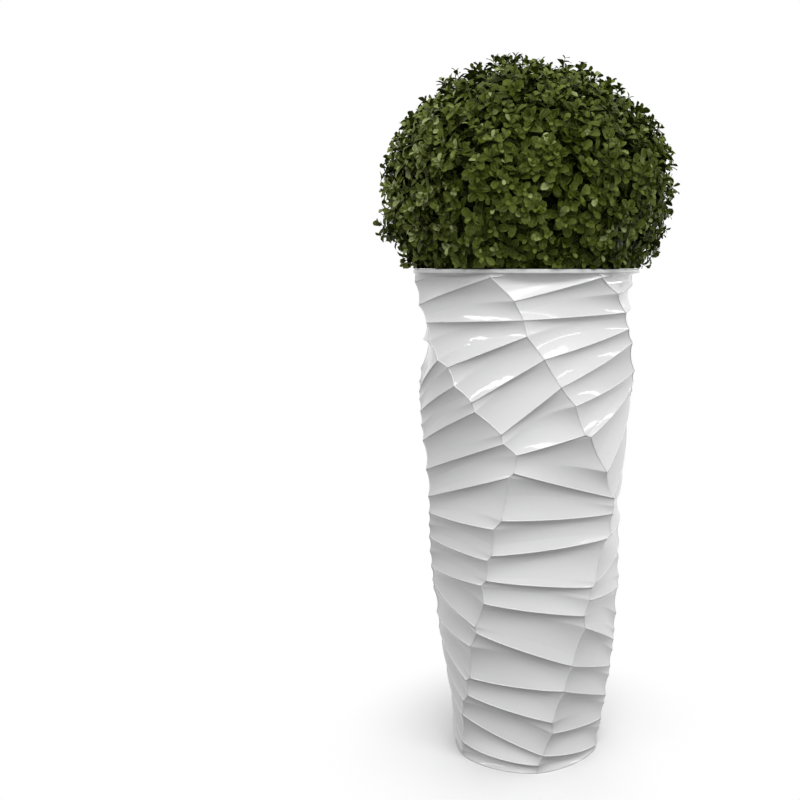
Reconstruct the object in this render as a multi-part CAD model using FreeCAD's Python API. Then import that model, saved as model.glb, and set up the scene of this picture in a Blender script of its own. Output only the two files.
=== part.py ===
import FreeCAD, Part
import math
import os

# A tall floor vase of white moulded resin, planted with a clipped boxwood ball.
# Its outer wall is a relief of shallow scoops, which six winding seams divide into columns.
# The origin is on the floor, on the vase's axis. +Z is up and the front faces -Y.

Vector = FreeCAD.Vector
up = Vector(0, 0, 1)
overrun = 5.0

# Vase body: radii of the smooth form that the seams lie on, from the foot to the rim
vase_height = 800.0
base_radius = 125.0
lower_swell_radius = 166.0
upper_swell_radius = 174.0
rim_radius = 180.0
lip_height = 6.0
lip_overhang = 1.0
lip_chamfer = 1.5
wall = 5.0
rim_wall = 16.0

# Relief: how far the ridges and the foot bow out between the seams, how deep and uneven the scoops are
scoop_depth = 9.0
scoop_depth_share = 0.16
scoop_rise_share = 0.13
ridge_bow_share = 0.45
foot_bow_share = 0.82
seam_dip_share = 0.09

# Inside of the vase
foot_flange = 12.0
foot_thickness = 10.0
ledge_drop = 30.0
ledge_width = 12.0
ledge_thickness = 8.0
well_station_shares = (0.12, 0.30, 0.60)

# Loose fits between curved faces, and the wider gap that lets the liner pass the ledge
fit_gap = 0.3
liner_gap = 2.0

# Base disc and its drain plug
disc_thickness = 10.0
drain_radius = 13.0
plug_flange_width = 7.0
plug_flange_thickness = 4.0
plug_knob_radius = 7.0
plug_knob_height = 14.0
plug_knob_rounding = 2.0
plug_reach = 3.0

# Liner pot and what fills it
liner_depth = 230.0
liner_wall = 3.0
liner_taper = 18.0
liner_flange_thickness = 4.0
liner_hole_radius = 6.0
liner_hole_circle = 70.0
liner_hole_count = 6
drainage_depth = 45.0
soil_drop = 8.0
soil_mound = 9.0

# Boxwood: heights are measured from the rim
root_depth = 90.0
trunk_radius = 17.0
trunk_top_radius = 11.0
crown_radius = 224.0
crown_skirt_radius = 186.0
crown_gap = 6.0
crown_widest_rise = 130.0
crown_rise = 307.0
crown_socket_depth = 150.0

# Swell of the clipped ball: waves over the directions from its centre, the same after half a turn
crown_swell = 26.0
crown_wave_shares = (
    (9, 3, 5, 0.4),
    (-4, 8, 6, 1.9),
    (6, -7, 9, 4.1),
    (3, 5, -11, 2.7),
)
crown_columns = 32
crown_rows = 11

# Seams: the turn share at the rim and at the foot, counted from the front towards +X.
# The other three seams are the same three, half a turn further on.
seam_end_shares = (
    (-0.217, -0.157),
    (-0.047, 0.022),
    (0.103, 0.183),
)

# Ridges, one row each: turn and height shares on the left seam, then on the right seam
left_ridge_shares = (
    (-0.361, 0.954, -0.212, 0.975),
    (-0.339, 0.918, -0.190, 0.931),
    (-0.308, 0.858, -0.158, 0.864),
    (-0.242, 0.752, -0.137, 0.829),
    (-0.222, 0.715, -0.105, 0.784),
    (-0.206, 0.660, -0.072, 0.739),
    (-0.194, 0.604, -0.031, 0.682),
    (-0.192, 0.549, -0.024, 0.619),
    (-0.196, 0.515, -0.048, 0.516),
    (-0.211, 0.459, -0.059, 0.453),
    (-0.225, 0.390, -0.071, 0.401),
    (-0.239, 0.355, -0.086, 0.312),
    (-0.253, 0.278, -0.099, 0.267),
    (-0.258, 0.243, -0.115, 0.189),
    (-0.269, 0.205, -0.129, 0.138),
    (-0.283, 0.155, -0.139, 0.104),
    (-0.297, 0.100, -0.152, 0.036),
    (-0.308, 0.050, -0.156, 0.014),
)
front_ridge_shares = (
    (-0.190, 0.931, -0.046, 0.985),
    (-0.163, 0.899, -0.003, 0.909),
    (-0.116, 0.818, 0.001, 0.880),
    (-0.076, 0.756, 0.024, 0.838),
    (-0.034, 0.699, 0.047, 0.786),
    (-0.013, 0.661, 0.085, 0.694),
    (-0.017, 0.627, 0.152, 0.557),
    (-0.036, 0.534, 0.151, 0.526),
    (-0.052, 0.463, 0.139, 0.479),
    (-0.062, 0.412, 0.111, 0.387),
    (-0.068, 0.364, 0.099, 0.331),
    (-0.084, 0.299, 0.081, 0.230),
    (-0.105, 0.197, 0.069, 0.178),
    (-0.115, 0.156, 0.049, 0.113),
    (-0.139, 0.104, 0.033, 0.040),
    (-0.152, 0.036, 0.024, 0.019),
)
right_ridge_shares = (
    (-0.015, 0.943, 0.106, 0.985),
    (-0.003, 0.909, 0.161, 0.918),
    (0.024, 0.838, 0.174, 0.886),
    (0.047, 0.786, 0.192, 0.858),
    (0.069, 0.750, 0.231, 0.797),
    (0.095, 0.689, 0.249, 0.772),
    (0.130, 0.614, 0.267, 0.738),
    (0.152, 0.557, 0.286, 0.690),
    (0.152, 0.541, 0.306, 0.604),
    (0.149, 0.485, 0.297, 0.487),
    (0.119, 0.395, 0.281, 0.425),
    (0.108, 0.362, 0.257, 0.335),
    (0.103, 0.305, 0.237, 0.224),
    (0.081, 0.230, 0.224, 0.172),
    (0.069, 0.178, 0.207, 0.115),
    (0.050, 0.089, 0.196, 0.068),
    (0.033, 0.040, 0.186, 0.012),
)

# Places that several pieces share
relief_top_share = 1 - lip_height / vase_height
ridge_rows = left_ridge_shares + front_ridge_shares + right_ridge_shares
widest_turn_share = max(row[2] - row[0] for row in ridge_rows)
ridge_recess = (1 - ridge_bow_share) * rim_radius * (1 - math.cos(math.pi * widest_turn_share))
wall_inset = ridge_recess + scoop_depth + wall
ledge_top = vase_height - ledge_drop
disc_top = foot_thickness + disc_thickness


def form_radius(height_share):
    # Smooth radius of the vase, a cubic Bezier curve in the height
    rest = 1 - height_share
    return (
        rest**3 * base_radius
        + 3 * rest**2 * height_share * lower_swell_radius
        + 3 * rest * height_share**2 * upper_swell_radius
        + height_share**3 * rim_radius
    )


def inner_radius(height):
    return form_radius(height / vase_height) - wall_inset


def on_form(place, inset=0.0):
    # A point of the smooth form from its turn and height shares, set inwards if asked
    turn, height_share = place
    angle = 2 * math.pi * turn
    radius = form_radius(height_share) - inset
    return Vector(radius * math.sin(angle), -radius * math.cos(angle), height_share * vase_height)


def between(start, end, share):
    return tuple(a + (b - a) * share for a, b in zip(start, end))


def cubic_through(start, first, second, end):
    # Poles of the cubic that passes two points at a third and two thirds of its way
    first_pole = (first * 18 - second * 9 - start * 5 + end * 2) / 6
    second_pole = (second * 18 - first * 9 - end * 5 + start * 2) / 6
    return [start, first_pole, second_pole, end]


def ridge_point(start, end, share, bow_share):
    # A ridge lies between the straight chord of its two seams and the round form
    chord = on_form(start) * (1 - share) + on_form(end) * share
    return chord * (1 - bow_share) + on_form(between(start, end, share)) * bow_share


def edge_poles(start, end, bow_share):
    first = ridge_point(start, end, 1 / 3, bow_share)
    second = ridge_point(start, end, 2 / 3, bow_share)
    return cubic_through(on_form(start), first, second, on_form(end))


def seam_poles(start, end):
    # One stretch of a seam between two ridge ends, a quadratic that dips inwards a little
    first = on_form(start)
    last = on_form(end)
    dip = first.distanceToPoint(last) * seam_dip_share
    middle = on_form(between(start, end, 1 / 2), dip)
    return [first, middle * 2 - (first + last) / 2, last]


def blossom(poles, start, end):
    first, middle, last = poles
    return (
        first * ((1 - start) * (1 - end))
        + middle * (start * (1 - end) + end * (1 - start))
        + last * (start * end)
    )


def piece_of(poles, start, end):
    # Poles of the part of a quadratic between two parameters
    return [blossom(poles, start, start), blossom(poles, start, end), blossom(poles, end, end)]


class Side:
    # One side of a cell: the stretches of a seam from its upper ridge down to its lower one

    def __init__(self, places):
        self.stretches = [seam_poles(a, b) for a, b in zip(places, places[1:])]
        lengths = [poles[0].distanceToPoint(poles[2]) for poles in self.stretches]
        sums = [sum(lengths[:count]) / sum(lengths) for count in range(len(lengths))]
        self.knots = [round(value, 6) for value in sums] + [1.0]

    def piece(self, start, end):
        for poles, low, high in zip(self.stretches, self.knots, self.knots[1:]):
            if low <= start and end <= high:
                span = high - low
                return piece_of(poles, (start - low) / span, (end - low) / span)

    def middle(self):
        for poles, low, high in zip(self.stretches, self.knots, self.knots[1:]):
            if high >= 1 / 2:
                where = (1 / 2 - low) / (high - low)
                return blossom(poles, where, where)


def scoop_point(upper, lower, share):
    # The deepest place of a cell at a share of its width, nearer to its upper ridge
    top = between(*upper, share)
    bottom = between(*lower, share)
    place = between(top, bottom, 1 / 2 - scoop_rise_share)
    cell_height = (top[1] - bottom[1]) * vase_height
    depth = min(scoop_depth, cell_height * scoop_depth_share)
    ridge = ridge_point(*upper, share, ridge_bow_share)
    hollow = math.hypot(ridge.x, ridge.y) / form_radius(top[1])
    return on_form(place, form_radius(place[1]) * (1 - hollow) + depth)


def patch(columns):
    surface = Part.BezierSurface()
    surface.increase(3, 2)
    for across, column in enumerate(columns, start=1):
        for down, pole in enumerate(column, start=1):
            surface.setPole(across, down, pole)
    return surface.toShape()


def cell_faces(upper, lower, left_side, right_side, upper_bow_share, lower_bow_share):
    # A scooped cell between two ridges, cut across wherever a ridge meets one of its sides
    top = edge_poles(*upper, upper_bow_share)
    bottom = edge_poles(*lower, lower_bow_share)
    hollow = [scoop_point(upper, lower, share) for share in (1 / 3, 2 / 3)]
    middle = cubic_through(left_side.middle(), *hollow, right_side.middle())
    inner = [[top[i], middle[i] * 2 - (top[i] + bottom[i]) / 2, bottom[i]] for i in (1, 2)]
    knots = sorted(set(left_side.knots + right_side.knots))
    faces = []
    for start, end in zip(knots, knots[1:]):
        columns = [left_side.piece(start, end)]
        columns += [piece_of(poles, start, end) for poles in inner]
        columns += [right_side.piece(start, end)]
        faces.append(patch(columns))
    return faces


def turned(place, turn):
    return (round(place[0] + turn, 3), place[1])


def ridge_columns():
    # Ridges of the six columns round the vase, in order, as pairs of places
    columns = []
    for turn in (0, 1 / 2):
        for rows in (left_ridge_shares, front_ridge_shares, right_ridge_shares):
            columns.append([(turned(row[:2], turn), turned(row[2:], turn)) for row in rows])
    return columns


def seam_places(columns, index):
    # Places of a seam from the rim to the foot: the ends of the ridges on both its sides
    turn = index // 3 / 2
    rim_turn, foot_turn = seam_end_shares[index % 3]
    places = {turned((rim_turn, relief_top_share), turn), turned((foot_turn, 0), turn)}
    places.update(end for start, end in columns[index])
    lap = (index + 1) // len(columns)
    places.update(turned(start, lap) for start, end in columns[(index + 1) % len(columns)])
    return sorted(places, key=lambda place: -place[1])


def relief_faces():
    columns = ridge_columns()
    seams = [seam_places(columns, index) for index in range(len(columns))]
    faces = []
    for index, ridges in enumerate(columns):
        lap = -1 if index == 0 else 0
        left = [turned(place, lap) for place in seams[index - 1]]
        right = seams[index]
        edges = [(left[0], right[0])] + ridges + [(left[-1], right[-1])]
        bows = [1] + [ridge_bow_share] * (len(ridges) - 1) + [foot_bow_share] * 2
        for row in range(len(edges) - 1):
            upper, lower = edges[row : row + 2]
            left_side = Side(left[left.index(upper[0]) : left.index(lower[0]) + 1])
            right_side = Side(right[right.index(upper[1]) : right.index(lower[1]) + 1])
            faces += cell_faces(upper, lower, left_side, right_side, bows[row], bows[row + 1])
    return faces


def cap_faces(shell):
    # Flat faces that close the relief at the foot and under the lip
    single = [edge for edge in shell.Edges if len(shell.ancestorsOfType(edge, Part.Face)) == 1]
    middle_height = vase_height / 2
    foot = [edge for edge in single if edge.CenterOfMass.z < middle_height]
    rim = [edge for edge in single if edge.CenterOfMass.z > middle_height]
    return [Part.Face(Part.Wire(Part.sortEdges(edges)[0])) for edges in (foot, rim)]


def line(start, end):
    return Part.LineSegment(Vector(start[0], 0, start[1]), Vector(end[0], 0, end[1])).toShape()


def lines(*points):
    return [line(a, b) for a, b in zip(points, points[1:])]


def turned_solid(edges):
    # A solid of revolution from a closed outline of radius and height
    face = Part.Face(Part.Wire(edges))
    return face.revolve(Vector(0, 0, 0), up, 360)


def cone_outline(low, low_radius, high, high_radius):
    return lines((0, low), (low_radius, low), (high_radius, high), (0, high), (0, low))


def cylinder(radius, low, high, x=0.0, y=0.0):
    return Part.makeCylinder(radius, high - low, Vector(x, y, low))


def ring_places(count, radius):
    angles = [2 * math.pi * step / count for step in range(count)]
    return [(radius * math.sin(angle), -radius * math.cos(angle)) for angle in angles]


def closed_solid(faces):
    shell = Part.makeShell(faces)
    shell.sewShape()
    solid = Part.makeSolid(shell)
    if solid.Volume < 0:
        solid.reverse()
    return solid


def relief_solid():
    shell = Part.makeShell(relief_faces())
    shell.sewShape()
    return closed_solid(shell.Faces + cap_faces(shell))


def lip_solid():
    radius = rim_radius + lip_overhang
    outline = lines(
        (0, vase_height),
        (0, relief_top_share * vase_height),
        (radius, relief_top_share * vase_height),
        (radius, vase_height - lip_chamfer),
        (radius - lip_chamfer, vase_height),
        (0, vase_height),
    )
    return turned_solid(outline)


def cavity_solid():
    # The round well, the ledge that carries the liner and the flared mouth above it
    ledge_bottom = ledge_top - ledge_thickness
    slope_bottom = ledge_bottom - ledge_width
    seat_radius = inner_radius(ledge_top)
    ledge_radius = seat_radius - ledge_width
    stations = [foot_thickness]
    stations += [share * vase_height for share in well_station_shares]
    stations += [slope_bottom]
    outline = lines(
        (0, foot_thickness),
        *[(inner_radius(height), height) for height in stations],
        (ledge_radius, ledge_bottom),
        (ledge_radius, ledge_top),
        (seat_radius, ledge_top),
        (rim_radius - rim_wall, vase_height),
        (rim_radius - rim_wall, vase_height + overrun),
        (0, vase_height + overrun),
        (0, foot_thickness),
    )
    return turned_solid(outline)


def vase_shell():
    foot_hole_radius = inner_radius(foot_thickness) - foot_flange
    foot_hole = cylinder(foot_hole_radius, -overrun, foot_thickness + overrun)
    return relief_solid().fuse(lip_solid()).cut(cavity_solid()).cut(foot_hole)


def base_disc():
    radius = inner_radius(foot_thickness) - fit_gap
    disc = cylinder(radius, foot_thickness, disc_top)
    return disc.cut(cylinder(drain_radius, foot_thickness - overrun, disc_top + overrun))


def drain_plug():
    # A rubber bung whose flange lies on the disc, with a knob to pull it by
    stem = cylinder(drain_radius - fit_gap, foot_thickness - plug_reach, disc_top)
    flange_top = disc_top + plug_flange_thickness
    flange = cylinder(drain_radius + plug_flange_width, disc_top, flange_top)
    knob_top = flange_top + plug_knob_height
    knob = cylinder(plug_knob_radius, flange_top, knob_top)
    rim = [edge for edge in knob.Edges if abs(edge.CenterOfMass.z - knob_top) < fit_gap]
    knob = knob.makeFillet(min(plug_knob_rounding, plug_knob_radius / 2), rim)
    return stem.fuse([flange, knob]).removeSplitter()


# Liner: radii of its outside at the ledge and at its floor
liner_top_radius = inner_radius(ledge_top) - ledge_width - liner_gap
liner_floor_radius = liner_top_radius - liner_taper
liner_bottom = ledge_top - liner_depth
liner_floor = liner_bottom + liner_wall
drainage_top = liner_floor + drainage_depth
soil_edge = ledge_top - soil_drop


def liner_inside(height):
    share = (height - liner_bottom) / liner_depth
    return liner_floor_radius + liner_taper * share - liner_wall


def liner_pot():
    flange_top = ledge_top + liner_flange_thickness
    flange_radius = inner_radius(ledge_top) - liner_gap
    pot = turned_solid(
        lines(
            (0, liner_bottom),
            (liner_floor_radius, liner_bottom),
            (liner_top_radius, ledge_top),
            (flange_radius, ledge_top),
            (flange_radius, flange_top),
            (liner_inside(flange_top), flange_top),
            (liner_inside(liner_floor), liner_floor),
            (0, liner_floor),
            (0, liner_bottom),
        )
    )
    for x, y in ring_places(liner_hole_count, liner_hole_circle):
        pot = pot.cut(cylinder(liner_hole_radius, liner_bottom - overrun, liner_floor + overrun, x, y))
    return pot


def drainage_bed():
    low_radius = liner_inside(liner_floor) - fit_gap
    high_radius = liner_inside(drainage_top) - fit_gap
    return turned_solid(cone_outline(liner_floor, low_radius, drainage_top, high_radius))


def soil_fill():
    crest = soil_edge + soil_mound
    outline = lines(
        (0, crest),
        (0, drainage_top),
        (liner_inside(drainage_top) - fit_gap, drainage_top),
        (liner_inside(soil_edge) - fit_gap, soil_edge),
        (trunk_radius, crest),
        (0, crest),
    )
    hole = cylinder(trunk_radius + fit_gap, soil_edge - root_depth, crest + overrun)
    return turned_solid(outline).cut(hole)


# Crown: heights above the floor
crown_bottom = vase_height + crown_gap
crown_widest = vase_height + crown_widest_rise
crown_seat = crown_bottom + crown_socket_depth


def boxwood_stem():
    # A round trunk that stands in the soil and tapers up to its seat in the crown
    root_end = soil_edge - root_depth
    outline = lines(
        (0, root_end),
        (trunk_radius, root_end),
        (trunk_radius, soil_edge + soil_mound),
        (trunk_top_radius, crown_bottom),
        (trunk_top_radius, crown_seat),
        (0, crown_seat),
        (0, root_end),
    )
    return turned_solid(outline)


def crown_pole(turn, angle, skirt_reach):
    # A pole of the ball at a turn round the axis and an angle from the level
    heading = Vector(math.cos(angle) * math.sin(turn), -math.cos(angle) * math.cos(turn), math.sin(angle))
    waves = [
        math.cos(x * heading.x + y * heading.y) * math.sin(z * heading.z + start)
        for x, y, z, start in crown_wave_shares
    ]
    swell = 1 + crown_swell / crown_radius * sum(waves) / len(waves)
    reach = skirt_reach if angle < 0 else crown_rise - crown_widest_rise
    radius = crown_radius * swell
    return Vector(radius * heading.x, radius * heading.y, crown_widest + reach * swell * heading.z)


def crown_face():
    # The uneven outside of the ball: poles in rows from the skirt to the top, closed round the axis
    skirt_angle = -math.acos(crown_skirt_radius / crown_radius)
    skirt_reach = (crown_bottom - crown_widest) / math.sin(skirt_angle)
    step = (math.pi / 2 - skirt_angle) / (crown_rows - 1)
    poles = []
    for column in range(crown_columns):
        turn = 2 * math.pi * column / crown_columns
        rows = [crown_pole(turn, skirt_angle + step * row, skirt_reach) for row in range(crown_rows)]
        rows[0].z = crown_bottom
        poles.append(rows)
    surface = Part.BSplineSurface()
    surface.buildFromPolesMultsKnots(
        poles,
        [1] * (crown_columns + 1),
        [4] + [1] * (crown_rows - 4) + [4],
        list(range(crown_columns + 1)),
        list(range(crown_rows - 2)),
        True,
        False,
        3,
        3,
    )
    return surface.toShape()


def foliage():
    # The clipped ball of leaves as one closed solid with a socket for the trunk
    outside = crown_face()
    low_edges = [edge for edge in outside.Edges if edge.BoundBox.ZMax < crown_bottom + fit_gap]
    underside = Part.Face(Part.Wire(low_edges))
    socket = cylinder(trunk_radius + fit_gap, crown_bottom - overrun, crown_seat)
    return closed_solid([outside, underside]).cut(socket)


pieces = {
    "vase_shell": vase_shell,
    "base_disc": base_disc,
    "drain_plug": drain_plug,
    "liner_pot": liner_pot,
    "drainage_bed": drainage_bed,
    "soil_fill": soil_fill,
    "boxwood_stem": boxwood_stem,
    "foliage": foliage,
}

os.makedirs("parts", exist_ok=True)
for name, make in pieces.items():
    shape = make()
    solid = shape.Solids[0]
    print(name, shape.isValid(), len(shape.Solids), len(shape.Faces), round(solid.Volume), solid.BoundBox)
    solid.exportStep("parts/" + name + ".step")
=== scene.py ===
import math
import bpy
import numpy as np
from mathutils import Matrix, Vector
from mathutils.bvhtree import BVHTree


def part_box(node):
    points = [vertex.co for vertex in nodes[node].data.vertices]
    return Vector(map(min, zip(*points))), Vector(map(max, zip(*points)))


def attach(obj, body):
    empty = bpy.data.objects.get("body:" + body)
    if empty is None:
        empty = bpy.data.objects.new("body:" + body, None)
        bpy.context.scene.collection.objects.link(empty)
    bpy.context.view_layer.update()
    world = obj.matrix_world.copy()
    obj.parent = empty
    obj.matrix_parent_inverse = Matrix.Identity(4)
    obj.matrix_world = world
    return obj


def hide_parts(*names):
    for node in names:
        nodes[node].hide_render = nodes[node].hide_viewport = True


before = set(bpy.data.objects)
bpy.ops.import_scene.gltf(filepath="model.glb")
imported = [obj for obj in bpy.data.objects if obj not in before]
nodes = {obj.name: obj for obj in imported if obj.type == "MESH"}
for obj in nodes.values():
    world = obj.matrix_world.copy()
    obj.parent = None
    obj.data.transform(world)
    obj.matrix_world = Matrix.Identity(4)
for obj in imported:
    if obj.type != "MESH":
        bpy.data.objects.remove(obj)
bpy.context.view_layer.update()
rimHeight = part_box("vase_shell")[1].z
growthSeed = 41
rng = np.random.default_rng(growthSeed)
print("frame loaded:", len(nodes), "nodes")


# Shader node helpers

def addNode(tree, kind, **values):
    # values set sockets by name, an underscore standing for a space
    node = tree.nodes.new(kind)
    for name, value in values.items():
        node.inputs[name.replace("_", " ")].default_value = value
    return node


def join(tree, *pairs):
    for source, target in pairs:
        tree.links.new(source, target)


def newGroup(name, inputs, outputs):
    group = bpy.data.node_groups.new(name, "ShaderNodeTree")
    for label, value in inputs.items():
        socket = group.interface.new_socket(label, in_out="INPUT", socket_type="NodeSocketFloat")
        socket.default_value = value
    for label in outputs:
        group.interface.new_socket(label, in_out="OUTPUT", socket_type="NodeSocketFloat")
    return group, group.nodes.new("NodeGroupInput"), group.nodes.new("NodeGroupOutput")


def useGroup(tree, group, **values):
    node = tree.nodes.new("ShaderNodeGroup")
    node.node_tree = group
    for name, value in values.items():
        node.inputs[name].default_value = value
    return node


def mixColours(tree, mask, low, high):
    # the Mix node has its colours at inputs 6 and 7 and at output 2
    mix = tree.nodes.new("ShaderNodeMix")
    mix.data_type = "RGBA"
    for socket, value in ((mix.inputs[6], low), (mix.inputs[7], high)):
        if isinstance(value, tuple):
            socket.default_value = (*value, 1)
        else:
            join(tree, (value, socket))
    join(tree, (mask, mix.inputs[0]))
    return mix.outputs[2]


def newMaterial(name, **sockets):
    material = bpy.data.materials.new(name)
    material.use_nodes = True
    tree = material.node_tree
    shader = tree.nodes["Principled BSDF"]
    for label, value in sockets.items():
        shader.inputs[label.replace("_", " ")].default_value = value
    return material, tree, shader


def bumpInto(tree, height, shader, strength, distance):
    bump = addNode(tree, "ShaderNodeBump", Strength=strength, Distance=distance)
    join(tree, (height, bump.inputs["Height"]), (bump.outputs["Normal"], shader.inputs["Normal"]))
    return bump


def mapFrom(tree, ends, **values):
    # a Map Range node with its incoming ends set
    return addNode(tree, "ShaderNodeMapRange", From_Min=ends[0], From_Max=ends[1], **values)


def mathNode(tree, operation):
    node = tree.nodes.new("ShaderNodeMath")
    node.operation = operation
    return node


# Shared effects

effects = {
    "mottleRange": (0.32, 0.68),  # the part of the noise that is spread from Low to High
    "dustFacing": (0.35, 1.0),  # how far up a face looks where dust starts and where it is full
    "dustPatches": (0.35, 0.7),
}


def buildMottle():
    # slow cloudy change, between Low and High
    group, taken, given = newGroup("mottle", {"Scale": 10, "Low": 0, "High": 1}, ["Value"])
    where = group.nodes.new("ShaderNodeTexCoord")
    noise = addNode(group, "ShaderNodeTexNoise", Detail=4, Roughness=0.6)
    spread = mapFrom(group, effects["mottleRange"])
    join(
        group,
        (where.outputs["Object"], noise.inputs["Vector"]),
        (taken.outputs["Scale"], noise.inputs["Scale"]),
        (noise.outputs["Fac"], spread.inputs["Value"]),
        (taken.outputs["Low"], spread.inputs["To Min"]),
        (taken.outputs["High"], spread.inputs["To Max"]),
        (spread.outputs["Result"], given.inputs["Value"]),
    )
    return group


def buildGrain():
    # fine skin of a moulding or a clod, as a height
    group, taken, given = newGroup("grain", {"Scale": 400, "Pits": 0.3}, ["Height"])
    where = group.nodes.new("ShaderNodeTexCoord")
    noise = addNode(group, "ShaderNodeTexNoise", Detail=2, Roughness=0.5)
    cells = group.nodes.new("ShaderNodeTexVoronoi")
    blend = group.nodes.new("ShaderNodeMix")  # its plain values are inputs 2 and 3
    join(
        group,
        (where.outputs["Object"], noise.inputs["Vector"]),
        (where.outputs["Object"], cells.inputs["Vector"]),
        (taken.outputs["Scale"], noise.inputs["Scale"]),
        (taken.outputs["Scale"], cells.inputs["Scale"]),
        (taken.outputs["Pits"], blend.inputs[0]),
        (noise.outputs["Fac"], blend.inputs[2]),
        (cells.outputs["Distance"], blend.inputs[3]),
        (blend.outputs[0], given.inputs["Height"]),
    )
    return group


def buildDust():
    # settles on faces that look up, in patches
    group, taken, given = newGroup("dust", {"Amount": 0.3, "Scale": 30}, ["Mask"])
    where = group.nodes.new("ShaderNodeTexCoord")
    geometry = group.nodes.new("ShaderNodeNewGeometry")
    parts = group.nodes.new("ShaderNodeSeparateXYZ")
    facing = mapFrom(group, effects["dustFacing"])
    noise = addNode(group, "ShaderNodeTexNoise", Detail=5)
    patches = mapFrom(group, effects["dustPatches"])
    both = mathNode(group, "MULTIPLY")
    share = mathNode(group, "MULTIPLY")
    join(
        group,
        (geometry.outputs["Normal"], parts.inputs[0]),
        (parts.outputs["Z"], facing.inputs["Value"]),
        (where.outputs["Object"], noise.inputs["Vector"]),
        (taken.outputs["Scale"], noise.inputs["Scale"]),
        (noise.outputs["Fac"], patches.inputs["Value"]),
        (facing.outputs["Result"], both.inputs[0]),
        (patches.outputs["Result"], both.inputs[1]),
        (both.outputs[0], share.inputs[0]),
        (taken.outputs["Amount"], share.inputs[1]),
        (share.outputs[0], given.inputs["Mask"]),
    )
    return group


mottleGroup = buildMottle()
grainGroup = buildGrain()
dustGroup = buildDust()
print("shared effects built")


def mottled(tree, scale, low=0, high=1):
    return useGroup(tree, mottleGroup, Scale=scale, Low=low, High=high).outputs["Value"]


def grained(tree, scale, pits):
    return useGroup(tree, grainGroup, Scale=scale, Pits=pits).outputs["Height"]


# Vase: white lacquer over the moulded relief

lacquer = {
    "white": (0.80, 0.80, 0.80),
    "shade": (0.795, 0.796, 0.798),
    "shadeScale": 5,
    "roughness": (0.23, 0.26),
    "roughnessScale": 9,
    "specular": 0.1,
    "coatWeight": 0.6,
    "coatRoughness": 0.04,
    "ridgeRounding": 0.0024,
    "roundingSamples": 6,
    "peelScale": 260,
    "peelPits": 0.1,
    "peelStrength": 0.25,
    "peelDepth": 0.00006,
}


def whiteLacquer():
    material, tree, shader = newMaterial(
        "whiteLacquer",
        Coat_Weight=lacquer["coatWeight"],
        Coat_Roughness=lacquer["coatRoughness"],
        Specular_IOR_Level=lacquer["specular"],
    )
    clouds = mottled(tree, lacquer["shadeScale"])
    gloss = mottled(tree, lacquer["roughnessScale"], *lacquer["roughness"])
    peel = grained(tree, lacquer["peelScale"], lacquer["peelPits"])
    colour = mixColours(tree, clouds, lacquer["shade"], lacquer["white"])
    rounding = addNode(tree, "ShaderNodeBevel", Radius=lacquer["ridgeRounding"])
    rounding.samples = lacquer["roundingSamples"]
    bump = bumpInto(tree, peel, shader, lacquer["peelStrength"], lacquer["peelDepth"])
    join(
        tree,
        (colour, shader.inputs["Base Color"]),
        (gloss, shader.inputs["Roughness"]),
        (rounding.outputs["Normal"], bump.inputs["Normal"]),
    )
    return material


def dress(node, material):
    mesh = nodes[node].data
    mesh.materials.clear()
    mesh.materials.append(material)


vaseFinish = whiteLacquer()
dress("vase_shell", vaseFinish)
dress("base_disc", vaseFinish)
print("vase lacquered")


# Rubber plug and plastic liner

mouldings = {
    "rubber": {
        "dark": (0.018, 0.018, 0.019),
        "light": (0.034, 0.033, 0.032),
        "roughness": (0.6, 0.78),
        "grainScale": 900,
    },
    "liner": {
        "dark": (0.016, 0.016, 0.017),
        "light": (0.03, 0.03, 0.03),
        "roughness": (0.36, 0.5),
        "grainScale": 420,
    },
    "shadeScale": 25,
    "roughnessScale": 60,
    "grainPits": 0.5,
    "grainStrength": 0.3,
    "grainDepth": 0.0002,
    "dustColour": (0.16, 0.13, 0.10),
    "dustAmount": 0.35,
    "dustScale": 45,
}


def darkMoulding(name):
    look = mouldings[name]
    material, tree, shader = newMaterial(name + "Moulding")
    clouds = mottled(tree, mouldings["shadeScale"])
    gloss = mottled(tree, mouldings["roughnessScale"], *look["roughness"])
    skin = grained(tree, look["grainScale"], mouldings["grainPits"])
    dust = useGroup(tree, dustGroup, Amount=mouldings["dustAmount"], Scale=mouldings["dustScale"])
    colour = mixColours(tree, clouds, look["dark"], look["light"])
    dusty = mixColours(tree, dust.outputs["Mask"], colour, mouldings["dustColour"])
    bumpInto(tree, skin, shader, mouldings["grainStrength"], mouldings["grainDepth"])
    join(tree, (dusty, shader.inputs["Base Color"]), (gloss, shader.inputs["Roughness"]))
    return material


dress("drain_plug", darkMoulding("rubber"))
dress("liner_pot", darkMoulding("liner"))


# Gravel and soil

ground = {
    "soil": {"dark": (0.018, 0.012, 0.008), "light": (0.075, 0.05, 0.032), "scale": 160, "depth": 0.003},
    "gravel": {"dark": (0.12, 0.10, 0.08), "light": (0.38, 0.33, 0.27), "scale": 95, "depth": 0.006},
    "roughness": 0.92,
    "pits": 0.7,
    "lumpStrength": 0.9,
}


def groundMaterial(name):
    look = ground[name]
    material, tree, shader = newMaterial(name, Roughness=ground["roughness"])
    clouds = mottled(tree, look["scale"])
    lumps = grained(tree, look["scale"], ground["pits"])
    colour = mixColours(tree, clouds, look["dark"], look["light"])
    bumpInto(tree, lumps, shader, ground["lumpStrength"], look["depth"])
    join(tree, (colour, shader.inputs["Base Color"]))
    return material


dress("soil_fill", groundMaterial("soil"))
dress("drainage_bed", groundMaterial("gravel"))


# Grey-brown bark of the trunk and the branches, green bark of the young twigs

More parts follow.
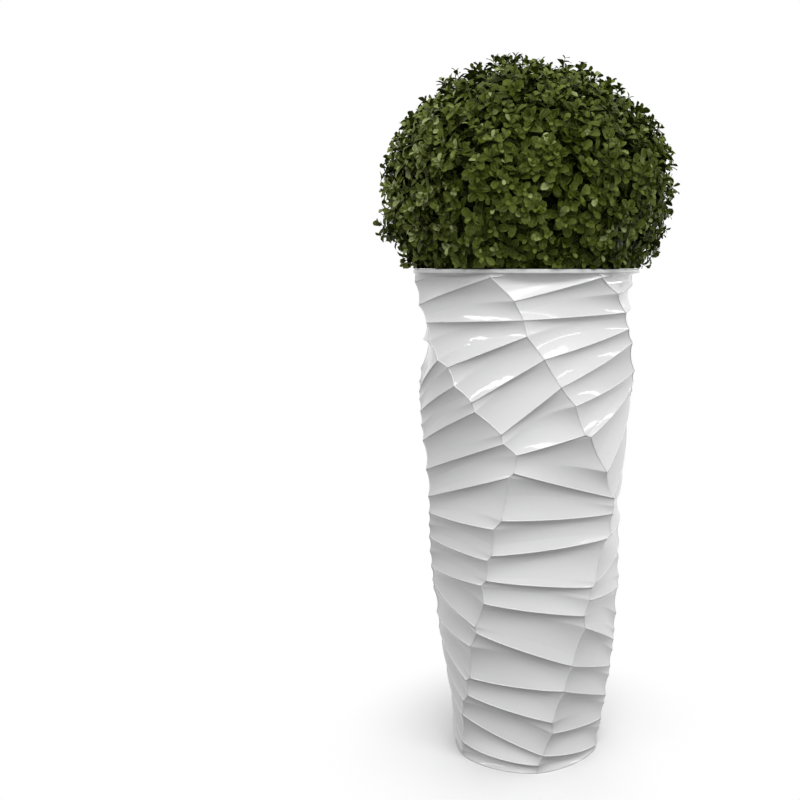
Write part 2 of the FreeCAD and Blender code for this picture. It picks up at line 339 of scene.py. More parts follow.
bark = {
    "trunk": {"dark": (0.05, 0.036, 0.024), "light": (0.20, 0.155, 0.11), "ridges": 90, "depth": 0.0016},
    "twig": {"dark": (0.022, 0.026, 0.004), "light": (0.085, 0.092, 0.018), "ridges": 220, "depth": 0.0002},
    "roughness": 0.85,
    "stretch": (1, 1, 0.22),  # the ridges run upwards
    "patchScale": 40,
    "ridgeStrength": 0.8,
}


def barkMaterial(name):
    look = bark[name]
    material, tree, shader = newMaterial(name + "Bark", Roughness=bark["roughness"])
    where = tree.nodes.new("ShaderNodeTexCoord")
    stretch = addNode(tree, "ShaderNodeMapping", Scale=bark["stretch"])
    noise = addNode(tree, "ShaderNodeTexNoise", Scale=look["ridges"], Detail=6, Roughness=0.65)
    colour = mixColours(tree, noise.outputs["Fac"], look["dark"], look["light"])
    patchy = mixColours(tree, mottled(tree, bark["patchScale"]), colour, look["dark"])
    bumpInto(tree, noise.outputs["Fac"], shader, bark["ridgeStrength"], look["depth"])
    join(
        tree,
        (where.outputs["Object"], stretch.inputs["Vector"]),
        (stretch.outputs["Vector"], noise.inputs["Vector"]),
        (patchy, shader.inputs["Base Color"]),
    )
    return material


barkFinish = barkMaterial("trunk")
dress("boxwood_stem", barkFinish)
print("inner pieces dressed")


# Mesh helpers

def newPiece(name, points, faces, material, smooth=True):
    mesh = bpy.data.meshes.new(name)
    mesh.from_pydata(points.tolist(), [], faces.tolist())
    mesh.polygons.foreach_set("use_smooth", np.full(len(faces), smooth))
    mesh.materials.append(material)
    piece = bpy.data.objects.new(name, mesh)
    bpy.context.scene.collection.objects.link(piece)
    return piece


def unit(vectors):
    return vectors / np.linalg.norm(vectors, axis=-1, keepdims=True)


sideGuide = np.array([0.31, 0.53, 0.79])  # a slanting direction, which sets where the rings start


def tubes(paths, radii, sides):
    # paths: tube, station, xyz; radii: tube, station
    count, stations = radii.shape
    along = unit(np.gradient(paths, axis=1))
    side = unit(np.cross(along, sideGuide))
    across = np.cross(along, side)
    turn = np.arange(sides) * 2 * math.pi / sides
    ring = side[:, :, None] * np.cos(turn)[:, None] + across[:, :, None] * np.sin(turn)[:, None]
    points = paths[:, :, None] + ring * radii[:, :, None, None]
    index = np.arange(count * stations * sides).reshape(count, stations, sides)
    nextSide = np.roll(index, -1, axis=2)
    quads = np.stack([index[:, :-1], nextSide[:, :-1], nextSide[:, 1:], index[:, 1:]], axis=-1)
    return points.reshape(-1, 3), quads.reshape(-1, 4)


# Crests: the slim rounded bead that the mould leaves along the ridges and seams

crest = {
    "leastAngle": 12,  # degrees between the faces on both sides
    "zone": (0.004, rimHeight - 0.008),  # heights between the foot and the lip
    "weldDigits": 6,
    "radius": 0.0011,
    "sink": 0.0004,  # how deep the bead's middle lies in the wall
    "stations": 16,
    "sides": 6,
    "shortestLoose": 0.07,  # a shorter ridge that fades out in a scoop has no bead
    "endDepth": 0.002,
}


def sharpEdges():
    # edges of the relief where two faces of the CAD shell meet at an angle
    mesh = nodes["vase_shell"].data
    mesh.calc_loop_triangles()
    every = np.array([v.co for v in mesh.vertices])
    points, welded = np.unique(np.round(every, crest["weldDigits"]), axis=0, return_inverse=True)
    corners = welded.reshape(-1)[np.array([t.vertices for t in mesh.loop_triangles])]
    faces = unit(np.array([t.normal for t in mesh.loop_triangles]))
    sides = [corners[:, [0, 1]], corners[:, [1, 2]], corners[:, [2, 0]]]
    pairs = np.sort(np.concatenate(sides), axis=1)
    owner = np.tile(np.arange(len(corners)), 3)
    order = np.lexsort((pairs[:, 1], pairs[:, 0]))
    pairs, owner = pairs[order], owner[order]
    twin = np.flatnonzero((pairs[1:] == pairs[:-1]).all(axis=1))
    edges = pairs[twin]
    first, second = faces[owner[twin]], faces[owner[twin + 1]]
    middle = points[edges].mean(axis=1)
    normal = first + second
    outward = np.sum(normal[:, :2] * middle[:, :2], axis=1) > 0
    sharp = np.sum(first * second, axis=1) < math.cos(math.radians(crest["leastAngle"]))
    low, high = crest["zone"]
    kept = sharp & outward & (middle[:, 2] > low) & (middle[:, 2] < high)
    normals = np.zeros_like(points)
    for end in (0, 1):
        np.add.at(normals, edges[kept][:, end], normal[kept])
    return points, normals, edges[kept]


def crestChains(edges):
    # runs of edges between the places where ridges and seams meet
    near = {}
    for start, end in edges.tolist():
        near.setdefault(start, []).append(end)
        near.setdefault(end, []).append(start)
    chains = []
    used = set()
    for start in [point for point, others in near.items() if len(others) != 2]:
        for step in near[start]:
            if (start, step) in used:
                continue
            chain = [start, step]
            while len(near[chain[-1]]) == 2:
                chain.append(next(point for point in near[chain[-1]] if point != chain[-2]))
            used.update([(chain[0], chain[1]), (chain[-1], chain[-2])])
            chains.append(chain)
    return chains, near


def crestPiece():
    points, normals, edges = sharpEdges()
    chains, near = crestChains(edges)
    paths = []
    for chain in chains:
        line = points[chain]
        reached = np.concatenate([[0], np.cumsum(np.linalg.norm(np.diff(line, axis=0), axis=1))])
        loose = min(len(near[chain[0]]), len(near[chain[-1]])) == 1
        if loose and reached[-1] < crest["shortestLoose"]:
            continue
        inwards = -unit(normals[chain])
        line = line + inwards * crest["sink"]
        stations = np.linspace(0, reached[-1], crest["stations"])
        path = np.stack([np.interp(stations, reached, line[:, way]) for way in range(3)], axis=1)
        ends = path[[0, -1]] + inwards[[0, -1]] * crest["endDepth"]  # the bead's ends turn into the wall
        paths.append(np.concatenate([ends[:1], path, ends[1:]]))
    paths = np.array(paths)
    points, quads = tubes(paths, np.full(paths.shape[:2], crest["radius"]), crest["sides"])
    print("crest beads:", len(paths), "runs")
    return newPiece("relief_crests", points, quads, vaseFinish)


crests = crestPiece()
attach(crests, "vase")


# Crown: its profile and its uneven outside, read from the CAD ball

crown = {
    "edgeBand": 0.0001,  # points this close to the lowest one are the skirt's edge
    "profileSteps": 400,
    "leastTurnShare": 0.15,  # limits how far jitter turns the places near the top
    "rayStart": 1.3,  # rays start outside the ball
}
domeMesh = nodes["foliage"].data
domeTree = BVHTree.FromPolygons([v.co for v in domeMesh.vertices], [p.vertices for p in domeMesh.polygons])
domePoints = np.array([v.co for v in domeMesh.vertices])
domeRadii = np.hypot(domePoints[:, 0], domePoints[:, 1])
crownBottom = domePoints[:, 2].min()
crownTop = domePoints[:, 2].max()
crownRadius = domeRadii.max()
crownWidest = domePoints[domeRadii.argmax(), 2]
skirtRadius = domeRadii[domePoints[:, 2] < crownBottom + crown["edgeBand"]].max()
skirtAngle = -math.acos(skirtRadius / crownRadius)
skirtReach = (crownBottom - crownWidest) / math.sin(skirtAngle)
domeReach = crownTop - crownWidest


def crownReach(angle):
    # height of the dome above its widest place, or the matching one of the skirt below it
    return np.where(angle > 0, domeReach, skirtReach)


def crownPoint(angle):
    # radius and height of the dome at an angle from the level
    return crownRadius * np.cos(angle), crownWidest + crownReach(angle) * np.sin(angle)


def crownNormal(angle):
    # radial and upward share of the dome's normal
    return unit(np.stack([np.cos(angle) / crownRadius, np.sin(angle) / crownReach(angle)], axis=-1)).T


def overCrown(count, jitter):
    # places spread evenly over the dome, as turns and angles
    angles = np.linspace(skirtAngle, math.pi / 2, crown["profileSteps"])
    radius, height = crownPoint(angles)
    steps = np.hypot(np.diff(radius), np.diff(height)) * (radius[1:] + radius[:-1])
    reached = np.concatenate([[0], np.cumsum(steps)])
    shares = (np.arange(count) + 0.5) / count
    angle = np.interp(shares * reached[-1], reached, angles)
    turn = np.arange(count) * math.pi * (3 - math.sqrt(5))  # steps of the golden angle
    angle = angle + rng.normal(0, jitter, count)
    turn = turn + rng.normal(0, jitter, count) / np.maximum(np.cos(angle), crown["leastTurnShare"])
    return turn, np.clip(angle, skirtAngle, math.pi / 2)


def aroundAxis(turn, radial, height):
    return np.stack([radial * np.sin(turn), -radial * np.cos(turn), height], axis=-1)


def onCrown(turn, angle):
    # points and normals of the CAD ball, met by rays towards its centre
    points = aroundAxis(turn, *crownPoint(angle))
    normals = aroundAxis(turn, *crownNormal(angle))
    centre = Vector((0, 0, crownWidest))
    for place in range(len(points)):
        inwards = centre - Vector(points[place])
        hit, normal = domeTree.ray_cast(centre - inwards * crown["rayStart"], inwards)[:2]
        if hit and normal.dot(inwards) < 0:
            points[place], normals[place] = hit, normal
    return points, normals


# Pockets between the shoots: the shoots there sit deeper, and their leaves are darkened with painted shade

pocket = {
    "waves": (((24, 8, 14), 0.9), ((-11, 22, 16), 2.4), ((16, -19, 24), 4.6), ((8, 14, -30), 3.2)),
    "waveSpan": 2.6,
    "start": 0.47,
    "ramp": 0.25,
    "outerDepth": 0.034,
    "innerDepth": 0.02,
    "shade": 0.42,  # painted shade: how much darker the leaves in them are
}


def pocketDepth(turn, angle):
    # 0 outside the pockets, 1 at their bottom
    directions = aroundAxis(turn, np.cos(angle), np.sin(angle))
    total = sum(np.sin(directions @ np.array(wave) + start) for wave, start in pocket["waves"])
    return np.clip(total / pocket["waveSpan"] - pocket["start"], 0, pocket["ramp"]) / pocket["ramp"]


# Leaves

leaf = {
    "dark": (0.006, 0.011, 0.0005),
    "mid": (0.042, 0.060, 0.003),
    "young": (0.122, 0.150, 0.028),
    # painted highlight: the pale colour stands for glints on the glossy leaves
    "pale": (0.290, 0.330, 0.140),
    "under": (0.070, 0.090, 0.014),
    "stops": (0.46, 0.84),  # tones at which the mid and the young colour stand
    "toneMottle": (-0.12, 0.12),
    "toneScale": 160,
    "rib": (0.22, 0.45),  # where the paler midrib ends and how much it shows
    "margin": (0.66, 0.75),  # where the painted highlight along the leaf's edge starts and how much it shows
    "ribStrength": 0.5,
    "ribDepth": 0.0006,
    "specular": 0.08,
    "roughness": (0.36, 0.52),
    "roughnessScale": 90,
    "length": 0.0215,
    "lengthSpread": (0.82, 1.15),
    "widthShare": 0.62,
    "widthSpread": (0.88, 1.12),
    "toneSpread": 0.09,
    "stationShares": (0.0, 0.42, 0.78, 1.0),
    "breadthShares": (0.16, 0.86, 0.96, 0.34),
    "columnShares": (-1.0, 0.0, 1.0),
    "cupShare": 0.16,
    "curlShare": 0.20,
    "curlBack": 1.6,  # how strongly the tip bends back down
}


def leafMaterial():
    material, tree, shader = newMaterial("boxwoodLeaf", Specular_IOR_Level=leaf["specular"])
    tone = tree.nodes.new("ShaderNodeAttribute")
    tone.attribute_name = "leafTone"
    across = tree.nodes.new("ShaderNodeAttribute")
    across.attribute_name = "leafAcross"
    geometry = tree.nodes.new("ShaderNodeNewGeometry")
    ramp = tree.nodes.new("ShaderNodeValToRGB")
    stops = ramp.color_ramp.elements
    stops[0].color = (*leaf["dark"], 1)
    stops[1].color = (*leaf["pale"], 1)
    for stop, colour in zip(leaf["stops"], (leaf["mid"], leaf["young"])):
        stops.new(stop).color = (*colour, 1)
    ribEnd, ribShare = leaf["rib"]
    marginStart, marginShare = leaf["margin"]
    distance = mathNode(tree, "ABSOLUTE")
    rib = mapFrom(tree, (0, ribEnd), To_Min=ribShare, To_Max=0)
    # painted highlight along the leaf's edge; the rib above is the leaf's own paler midrib
    margin = mapFrom(tree, (marginStart, 1), To_Max=marginShare)
    ribAndEdgeGlint = mathNode(tree, "MAXIMUM")
    total = mathNode(tree, "ADD")
    ribbedAndGlinted = mixColours(tree, ribAndEdgeGlint.outputs[0], ramp.outputs["Color"], leaf["young"])
    sided = mixColours(tree, geometry.outputs["Backfacing"], ribbedAndGlinted, leaf["under"])
    bumpInto(tree, distance.outputs[0], shader, leaf["ribStrength"], leaf["ribDepth"])
    join(
        tree,
        (tone.outputs["Fac"], total.inputs[0]),
        (mottled(tree, leaf["toneScale"], *leaf["toneMottle"]), total.inputs[1]),
        (total.outputs[0], ramp.inputs["Fac"]),
        (across.outputs["Fac"], distance.inputs[0]),
        (distance.outputs[0], rib.inputs["Value"]),
        (distance.outputs[0], margin.inputs["Value"]),
        (rib.outputs["Result"], ribAndEdgeGlint.inputs[0]),
        (margin.outputs["Result"], ribAndEdgeGlint.inputs[1]),
        (sided, shader.inputs["Base Color"]),
        (mottled(tree, leaf["roughnessScale"], *leaf["roughness"]), shader.inputs["Roughness"]),
    )
    return material


def leafPoints(base, along, face, length, width):
    # a cupped, curled, spoon-shaped blade for each row: leaf, station, column, xyz
    stations = np.array(leaf["stationShares"])
    breadth = np.array(leaf["breadthShares"])
    columns = np.array(leaf["columnShares"])
    across = np.cross(along, face)
    forward = length[:, None] * stations
    curl = length[:, None] * leaf["curlShare"] * (stations - stations**2 * leaf["curlBack"])
    half = width[:, None, None] / 2 * breadth[:, None] * columns
    cup = width[:, None, None] * leaf["cupShare"] * (breadth[:, None] * columns) ** 2
    points = base[:, None, None] + along[:, None, None] * forward[:, :, None, None]
    points = points + face[:, None, None] * (curl[:, :, None] + cup)[..., None]
    return points + across[:, None, None] * half[..., None]


# Sprigs: shoots with pairs of leaves that stand crosswise

sprig = {
    "length": 0.036,
    "pairHeightShares": (0.05, 0.32, 0.58, 0.80, 0.97),
    "pairSpread": (2, 8, 16, 30, 50),  # degrees by which a pair rises from flat
    "pairSizeShares": (0.95, 1.0, 0.92, 0.74, 0.46),
    "pairTone": (0.26, 0.36, 0.46, 0.56, 0.66),
    "spreadJitter": 11,
    "twist": 0.25,
    "lift": 0.16,
    "leastOutward": 0.7,
}


def leanSprigs(turn, angle, inset, lean):
    # tip and axis of each sprig, standing off the dome with a random lean
    surface, normal = onCrown(turn, angle)
    tips = surface - normal * inset[:, None]
    axes = normal + rng.normal(0, lean, normal.shape)
    axes[:, 2] += sprig["lift"]
    outwards = np.sum(axes * normal, axis=1)
    axes = axes + normal * np.maximum(sprig["leastOutward"] - outwards, 0)[:, None]
    return tips, unit(axes)


def growLeaves(tips, axes, sizes, tones):
    count = len(tips)
    side = unit(np.cross(axes, rng.normal(size=(count, 3))))
    other = np.cross(axes, side)
    blades = []
    shades = []
    for pair, heightShare in enumerate(sprig["pairHeightShares"]):
        roots = tips - axes * (sprig["length"] * sizes * (1 - heightShare))[:, None]
        first = side if pair % 2 else other
        pairLength = leaf["length"] * sizes * sprig["pairSizeShares"][pair]
        for way in (1, -1):
            jitter = rng.normal(0, sprig["spreadJitter"], count)
            spread = np.radians(sprig["pairSpread"][pair] + jitter)[:, None]
            twist = rng.normal(0, sprig["twist"], count)[:, None]
            out = unit(first * way + np.cross(axes, first) * twist)
            along = out * np.cos(spread) + axes * np.sin(spread)
            face = axes * np.cos(spread) - out * np.sin(spread)
            length = pairLength * rng.uniform(*leaf["lengthSpread"], count)
            width = length * leaf["widthShare"] * rng.uniform(*leaf["widthSpread"], count)
            blades.append(leafPoints(roots, along, face, length, width))
            shades.append(tones + sprig["pairTone"][pair] + rng.normal(0, leaf["toneSpread"], count))
    return {"tips": tips, "axes": axes, "leaves": np.concatenate(blades), "tones": np.concatenate(shades)}


outerSprigs = {
    "count": 1350,
    "jitter": 0.035,
    "inset": (-0.0025, 0.005),  # mean and spread of the depth of the tips under the dome
    "leastInset": -0.011,
    "topRise": 0.006,  # the shoots on top stand a little prouder
    "topStart": 0.75,
    "topRamp": 0.2,
    "lean": 0.30,
    "sizes": (0.86, 1.12),
    "toneSpread": 0.10,
    "glintSide": -0.08,  # painted light: left of this, the leaves are lighter and more of them get the pale colour, a painted glint
    "glintShares": (0.15, 0.04),
    "glintLift": 0.42,
    "paintedSideLight": 0.2,
    "sideRamp": 0.08,
}


def growOuter():
    look = outerSprigs
    count = look["count"]
    turn, angle = overCrown(count, look["jitter"])
    inset = np.maximum(rng.normal(*look["inset"], count), look["leastInset"])
    depth = pocketDepth(turn, angle)
    inset += pocket["outerDepth"] * depth
    inset -= look["topRise"] * np.clip((np.sin(angle) - look["topStart"]) / look["topRamp"], 0, 1)
    tips, axes = leanSprigs(turn, angle, inset, look["lean"])
    sizes = rng.uniform(*look["sizes"], count)
    # painted shade: the leaves in the pockets are darker
    tones = rng.normal(0, look["toneSpread"], count) - pocket["shade"] * depth
    grown = growLeaves(tips, axes, sizes, tones)
    # painted light: leaves on the left get painted glints and are lighter overall
    acrossPlace = grown["leaves"][:, 0, 1, 0]
    glintChance = np.where(acrossPlace < look["glintSide"], *look["glintShares"])
    grown["tones"] += look["glintLift"] * (rng.uniform(size=len(glintChance)) < glintChance)
    grown["tones"] += look["paintedSideLight"] * np.clip((look["glintSide"] - acrossPlace) / look["sideRamp"], 0, 1)
    return grown


innerSprigs = {
    "count": 520,
    "jitter": 0.06,
    "inset": (0.012, 0.03),
    "lean": 0.5,
    "sizes": (0.9, 1.15),
    # painted shade: the leaves deep inside the crown are darker
    "tone": -0.42,
}


def growInner():
    look = innerSprigs
    count = look["count"]
    turn, angle = overCrown(count, look["jitter"])
    inset = rng.uniform(*look["inset"], count) + pocket["innerDepth"] * pocketDepth(turn, angle)
    tips, axes = leanSprigs(turn, angle, inset, look["lean"])
    return growLeaves(tips, axes, rng.uniform(*look["sizes"], count), np.full(count, look["tone"]))


underSprigs = {
    "count": 170,
    "innerRadius": 0.06,
    "rise": (0.004, 0.02),  # tips over the crown's lower edge
    "slope": (-0.25, 0.2),
    "sizes": (0.85, 1.1),
    # painted shade: the leaves under the crown are darker
    "tone": -0.25,
}
skirtSprigs = {
    "count": 300,
    "radii": (0.140, 0.184),
    "rise": (-0.002, 0.012),
    "slope": (0.15, 0.2),
    "sizes": (0.85, 1.1),
    # painted shade: the leaves round the crown's lower edge are darker
    "tone": -0.18,
}


def growLow(look, turn, radius):
    # sprigs round the crown's lower edge, which point outwards
    count = look["count"]
    tips = aroundAxis(turn, radius, crownBottom + rng.uniform(*look["rise"], count))
    axes = unit(aroundAxis(turn, np.full(count, 1.0), rng.normal(*look["slope"], count)))
    return growLeaves(tips, axes, rng.uniform(*look["sizes"], count), np.full(count, look["tone"]))


def growUnder():
    count = underSprigs["count"]
    turn = rng.uniform(0, 2 * math.pi, count)
    radius = np.sqrt(rng.uniform(underSprigs["innerRadius"] ** 2, skirtRadius**2, count))
    return growLow(underSprigs, turn, radius)


def growSkirt():
    count = skirtSprigs["count"]
    turn = np.arange(count) * 2 * math.pi / count
    return growLow(skirtSprigs, turn, rng.uniform(*skirtSprigs["radii"], count))


straySprigs = {
    "size": 0.85,
    "tone": -0.05,
    "places": (  # tips and directions of the shoots that missed the shears
        ((-0.230, -0.040, 0.870), (-0.75, -0.55, 0.35)),
        ((-0.226, -0.050, 0.852), (-0.7, -0.65, -0.25)),
        ((0.231, -0.010, 0.962), (0.8, 0, 0.5)),
        ((0.170, -0.030, 1.050), (0.7, -0.1, 0.8)),
        ((-0.052, -0.010, 1.124), (-0.1, 0, 1)),
        ((-0.016, -0.030, 1.122), (0, -0.1, 1)),
        ((0.024, 0.010, 1.125), (0.1, 0, 1)),
        ((0.060, -0.010, 1.124), (0.2, 0, 1)),
        ((0.088, 0.000, 1.118), (0.3, 0, 1)),
        ((-0.108, -0.030, 1.100), (-0.4, 0, 0.9)),
    ),
}


def growStrays():
    count = len(straySprigs["places"])
    tips = np.array([tip for tip, axis in straySprigs["places"]])
    axes = unit(np.array([axis for tip, axis in straySprigs["places"]]))
    return growLeaves(tips, axes, np.full(count, straySprigs["size"]), np.full(count, straySprigs["tone"]))


# Leaf pieces, which lie on the rim and dip into the mouth

rimRest = {
    "gap": 0.0004,  # room that the leaves leave over the rim
    "settle": 0.001,
    "bend": 0.009,  # leaves that would have to bend up further are left out
    "mouthRadius": 0.148,
    "mouthDip": 0.012,
}


def joined(groups, what):
    return np.concatenate([group[what] for group in groups])


def leafPiece(name, groups, material):
    points, tone = joined(groups, "leaves"), joined(groups, "tones")
    overMouth = np.hypot(points[..., 0], points[..., 1]) < rimRest["mouthRadius"]
    floor = np.where(overMouth, rimHeight - rimRest["mouthDip"], rimHeight + rimRest["gap"])
    clear = (points[..., 2] > floor - rimRest["bend"]).all(axis=(1, 2))
    points, tone, floor = points[clear], tone[clear], floor[clear]
    settled = rng.uniform(0, rimRest["settle"], len(points))[:, None, None]
    points[..., 2] = np.maximum(points[..., 2], floor + settled)
    count, stations, columns = points.shape[:3]
    index = np.arange(count * stations * columns).reshape(count, stations, columns)
    corners = [index[:, :-1, :-1], index[:, :-1, 1:], index[:, 1:, 1:], index[:, 1:, :-1]]
    quads = np.stack(corners, axis=-1)
    piece = newPiece(name, points.reshape(-1, 3), quads.reshape(-1, 4), material)
    pointValues = {
        "leafTone": np.repeat(tone, stations * columns),
        "leafAcross": np.tile(np.array(leaf["columnShares"]), count * stations),
    }
    for label, values in pointValues.items():
        attribute = piece.data.attributes.new(label, "FLOAT", "POINT")
        attribute.data.foreach_set("value", values.astype(np.float32))
    return piece


outer = growOuter()
inner = growInner()
under = growUnder()
skirt = growSkirt()
strays = growStrays()
leafFinish = leafMaterial()
crownLeaves = leafPiece("boxwood_leaves", (outer, strays), leafFinish)
# these leaves carry painted shade in their darker tones
shadeLeaves = leafPiece("boxwood_shade_leaves", (inner, under, skirt), leafFinish)
for piece in (crownLeaves, shadeLeaves):
    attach(piece, "insert")
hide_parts("foliage")
print("leaves grown:", len(crownLeaves.data.polygons), len(shadeLeaves.data.polygons), "faces")


# Twigs

twig = {
    "radius": 0.0007,
    "taperShare": 0.5,
    "reach": 1.5,  # in lengths of a sprig, from its tip into the crown
    "bend": 0.003,
    "stations": 4,
    "sides": 5,
}


def twigPiece():
    groups = (outer, inner, under, skirt, strays)
    tips, axes = joined(groups, "tips"), joined(groups, "axes")
    shares = np.linspace(-twig["reach"], 0, twig["stations"])
    bend = rng.normal(0, twig["bend"], tips.shape)
    paths = tips[:, None] + axes[:, None] * (shares * sprig["length"])[:, None]
    paths = paths + bend[:, None] * (shares**2)[:, None]
    paths[..., 2] = np.maximum(paths[..., 2], rimHeight + rimRest["gap"] + twig["radius"])
    taper = 1 - twig["taperShare"] * (shares + twig["reach"]) / twig["reach"]
    points, quads = tubes(paths, np.tile(twig["radius"] * taper, (len(tips), 1)), twig["sides"])
    return newPiece("boxwood_twigs", points, quads, barkMaterial("twig"))


# Branches from the trunk to the leaves

branch = {
    "count": 56,
    "jitter": 0.12,
    "rootRadius": 0.0052,
    "tipRadius": 0.0016,
    "reachShare": 0.86,
    "leastTipRise": 0.02,  # this and the next are heights over the crown's lower edge
    "leastRootRise": 0.012,
    "rootOffset": 0.008,
    "sway": 0.02,
    "wobble": 0.002,
    "stations": 8,
    "sides": 7,
}


def branchPiece():
    count = branch["count"]
    turn, angle = overCrown(count, branch["jitter"])
    radius, height = crownPoint(angle)
    reach = branch["reachShare"]
    ends = aroundAxis(turn, radius * reach, crownWidest + (height - crownWidest) * reach)
    ends[:, 2] = np.maximum(ends[:, 2], crownBottom + branch["leastTipRise"])
    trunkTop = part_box("boxwood_stem")[1].z
    rootHeight = rng.uniform(crownBottom + branch["leastRootRise"], trunkTop, count)
    roots = aroundAxis(turn, np.full(count, branch["rootOffset"]), rootHeight)
    share = np.linspace(0, 1, branch["stations"])[:, None]
    sway = rng.uniform(-branch["sway"], branch["sway"], count)[:, None, None] * np.sin(share * math.pi)
    paths = roots[:, None] * (1 - share) + ends[:, None] * share
    paths = paths + sway * np.array([0, 0, 1]) + rng.normal(0, branch["wobble"], paths.shape)
    radii = branch["rootRadius"] + (branch["tipRadius"] - branch["rootRadius"]) * share[:, 0]
    points, quads = tubes(paths, np.tile(radii, (count, 1)), branch["sides"])
    return newPiece("boxwood_branches", points, quads, barkFinish)


# Heart of the crown: a near-black dome inside the leaves, painted shade where the inner twigs and gaps
# would be

heart = {
    "share": 0.80,
    "rings": 40,
    "sides": 72,
    "unevenness": 0.003,
    "neck": 0.03,
    "lift": 0.006,
    # near-black colour of the painted shade
    "colour": (0.004, 0.006, 0.001),
    "shadeScale": 120,
    "roughness": 0.95,
    "specular": 0.1,
    "clodScale": 140,
    "clodPits": 0.6,
    "clodStrength": 1.0,
    "clodDepth": 0.006,
}


def heartMaterial():
    material, tree, shader = newMaterial(
        "crownPaintedShade", Roughness=heart["roughness"], Specular_IOR_Level=heart["specular"]
    )
    clods = grained(tree, heart["clodScale"], heart["clodPits"])
    colour = mixColours(tree, mottled(tree, heart["shadeScale"]), heart["colour"], leaf["dark"])
    bumpInto(tree, clods, shader, heart["clodStrength"], heart["clodDepth"])
    join(tree, (colour, shader.inputs["Base Color"]))
    return material


def heartPiece():
    rings, sides = heart["rings"], heart["sides"]
    turn = np.arange(sides) * 2 * math.pi / sides
    radius, height = crownPoint(np.linspace(skirtAngle, math.pi / 2, rings))
    radius[0] = heart["neck"]  # the first ring closes the underside round the trunk
    height = crownBottom + heart["lift"] + (height - crownBottom) * heart["share"]
    grid = aroundAxis(
        np.broadcast_to(turn, (rings, sides)),
        (radius * heart["share"])[:, None],
        height[:, None] + np.zeros(sides),
    )
    grid = grid + rng.normal(0, heart["unevenness"], grid.shape)
    grid[-1] = grid[-1].mean(axis=0)
    index = np.arange(rings * sides).reshape(rings, sides)
    beside = np.roll(index, -1, axis=1)
    quads = np.stack([index[:-1], beside[:-1], beside[1:], index[1:]], axis=-1)
    return newPiece("crown_painted_shade", grid.reshape(-1, 3), quads.reshape(-1, 4), heartMaterial())


for made in (twigPiece(), branchPiece(), heartPiece()):
    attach(made, "insert")
print("twigs, branches and heart made")


# Stage, light and camera

studio = {
    "floorColour": (0.95, 0.95, 0.95),
    "floorShade": 0.985,  # share of that colour in the floor's darker clouds
    "floorShadeScale": 3,
    "floorRoughness": 0.9,
    "floorBounce": (0.10, 0.10, 0.10),  # what the floor throws back at the object
    "floorReach": 12.0,
    "floorFade": (0.13, 0.36),  # radii over which the floor fades to plain white
    "ambient": 0.39,
    "aim": (0, 0, 0.55),
    "lamps": {
        "keySoftbox": {"at": (0.45, -1.5, 2.3), "size": (2.4, 0.7), "power": 32},
        "topSoftbox": {"at": (-0.1, 0.1, 2.9), "size": (1.8, 1.8), "power": 5},
        "leftStrip": {"at": (-1.6, -1.4, 1.5), "size": (1.6, 0.1), "power": 10},
        "frontStrip": {"at": (1.1, -1.9, 1.4), "size": (2.4, 0.1), "power": 8},
        "rightStrip": {"at": (1.6, 0.5, 1.0), "size": (2.2, 0.09), "power": 7},
        "backSoftbox": {"at": (-0.3, 2.2, 2.2), "size": (2.2, 0.7), "power": 16},
    },
}


def seenMask(tree):
    # camera, glossy and transmission rays see the plain white ground
    path = tree.nodes.new("ShaderNodeLightPath")
    first = mathNode(tree, "MAXIMUM")
    second = mathNode(tree, "MAXIMUM")
    join(
        tree,
        (path.outputs["Is Camera Ray"], first.inputs[0]),
        (path.outputs["Is Glossy Ray"], first.inputs[1]),
        (first.outputs[0], second.inputs[0]),
        (path.outputs["Is Transmission Ray"], second.inputs[1]),
    )
    return second.outputs[0]


def buildWorld():
    world = bpy.data.worlds.new("studioWorld")
    bpy.context.scene.world = world
    world.use_nodes = True
    tree = world.node_tree
    strength = addNode(tree, "ShaderNodeMapRange", To_Min=studio["ambient"], To_Max=1.0)
    background = tree.nodes["Background"]
    background.inputs["Color"].default_value = (1, 1, 1, 1)
    join(
        tree,
        (seenMask(tree), strength.inputs["Value"]),
        (strength.outputs["Result"], background.inputs["Strength"]),
    )


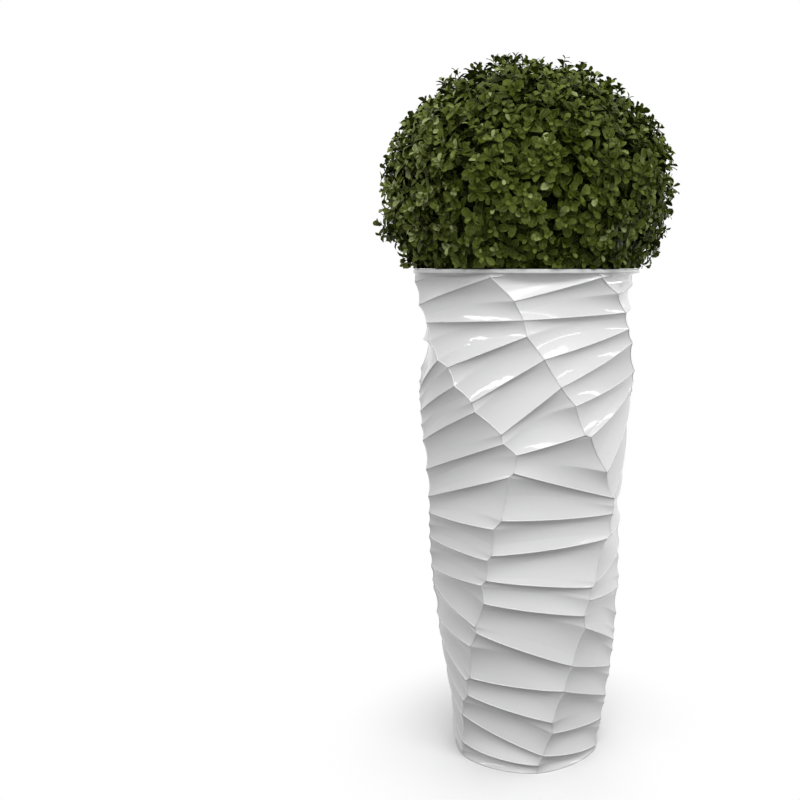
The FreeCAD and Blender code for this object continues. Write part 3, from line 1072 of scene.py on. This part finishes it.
def buildFloor():
    material, tree, shader = newMaterial(
        "paleFloor", Roughness=studio["floorRoughness"], Specular_IOR_Level=0.0
    )
    clouds = mottled(tree, studio["floorShadeScale"])
    slightlyDarker = tuple(studio["floorShade"] * value for value in studio["floorColour"])
    colour = mixColours(tree, clouds, slightlyDarker, studio["floorColour"])
    seen = seenMask(tree)
    colour = mixColours(tree, seen, studio["floorBounce"], colour)
    where = tree.nodes.new("ShaderNodeTexCoord")
    distance = tree.nodes.new("ShaderNodeVectorMath")
    distance.operation = "LENGTH"
    fade = mapFrom(tree, studio["floorFade"])
    fade.interpolation_type = "SMOOTHSTEP"
    plain = mathNode(tree, "MULTIPLY")
    white = addNode(tree, "ShaderNodeEmission", Strength=1.0)
    blend = tree.nodes.new("ShaderNodeMixShader")
    join(
        tree,
        (colour, shader.inputs["Base Color"]),
        (where.outputs["Object"], distance.inputs[0]),
        (distance.outputs["Value"], fade.inputs["Value"]),
        (fade.outputs["Result"], plain.inputs[0]),
        (seen, plain.inputs[1]),
        (plain.outputs[0], blend.inputs[0]),
        (shader.outputs[0], blend.inputs[1]),
        (white.outputs[0], blend.inputs[2]),
        (blend.outputs[0], tree.nodes["Material Output"].inputs["Surface"]),
    )
    reach = studio["floorReach"]
    corners = np.array([(-reach, -reach, 0), (reach, -reach, 0), (reach, reach, 0), (-reach, reach, 0)])
    floor = newPiece("studio_floor", corners, np.array([[0, 1, 2, 3]]), material, smooth=False)


def addLamp(name, at, size, power):
    light = bpy.data.lights.new(name, "AREA")
    light.shape = "RECTANGLE"
    light.size, light.size_y = size
    light.energy = power
    lamp = bpy.data.objects.new(name, light)
    bpy.context.scene.collection.objects.link(lamp)
    lamp.location = at
    lamp.rotation_euler = (Vector(studio["aim"]) - Vector(at)).to_track_quat("-Z", "Y").to_euler()


buildWorld()
buildFloor()
for lampName, lampValues in studio["lamps"].items():
    addLamp(lampName, **lampValues)

view = {
    "distance": 1.5,
    "height": rimHeight,
    "downTilt": 8.09,
    "lens": 41.48,
    "sensor": 36.0,
    "axisPixel": 526.3,  # where the vase's axis stands in the 800 pixel frame
    "framePixels": 800,
}
cameraData = bpy.data.cameras.new("photoCamera")
cameraData.lens = view["lens"]
cameraData.sensor_width = view["sensor"]
cameraData.shift_x = (view["framePixels"] / 2 - view["axisPixel"]) / view["framePixels"]
camera = bpy.data.objects.new("photoCamera", cameraData)
bpy.context.scene.collection.objects.link(camera)
camera.location = (0, -view["distance"], view["height"])
camera.rotation_euler = (math.radians(90 - view["downTilt"]), 0, 0)
bpy.context.scene.camera = camera
bpy.context.scene.view_settings.view_transform = "Standard"
print("stage, light and camera set")
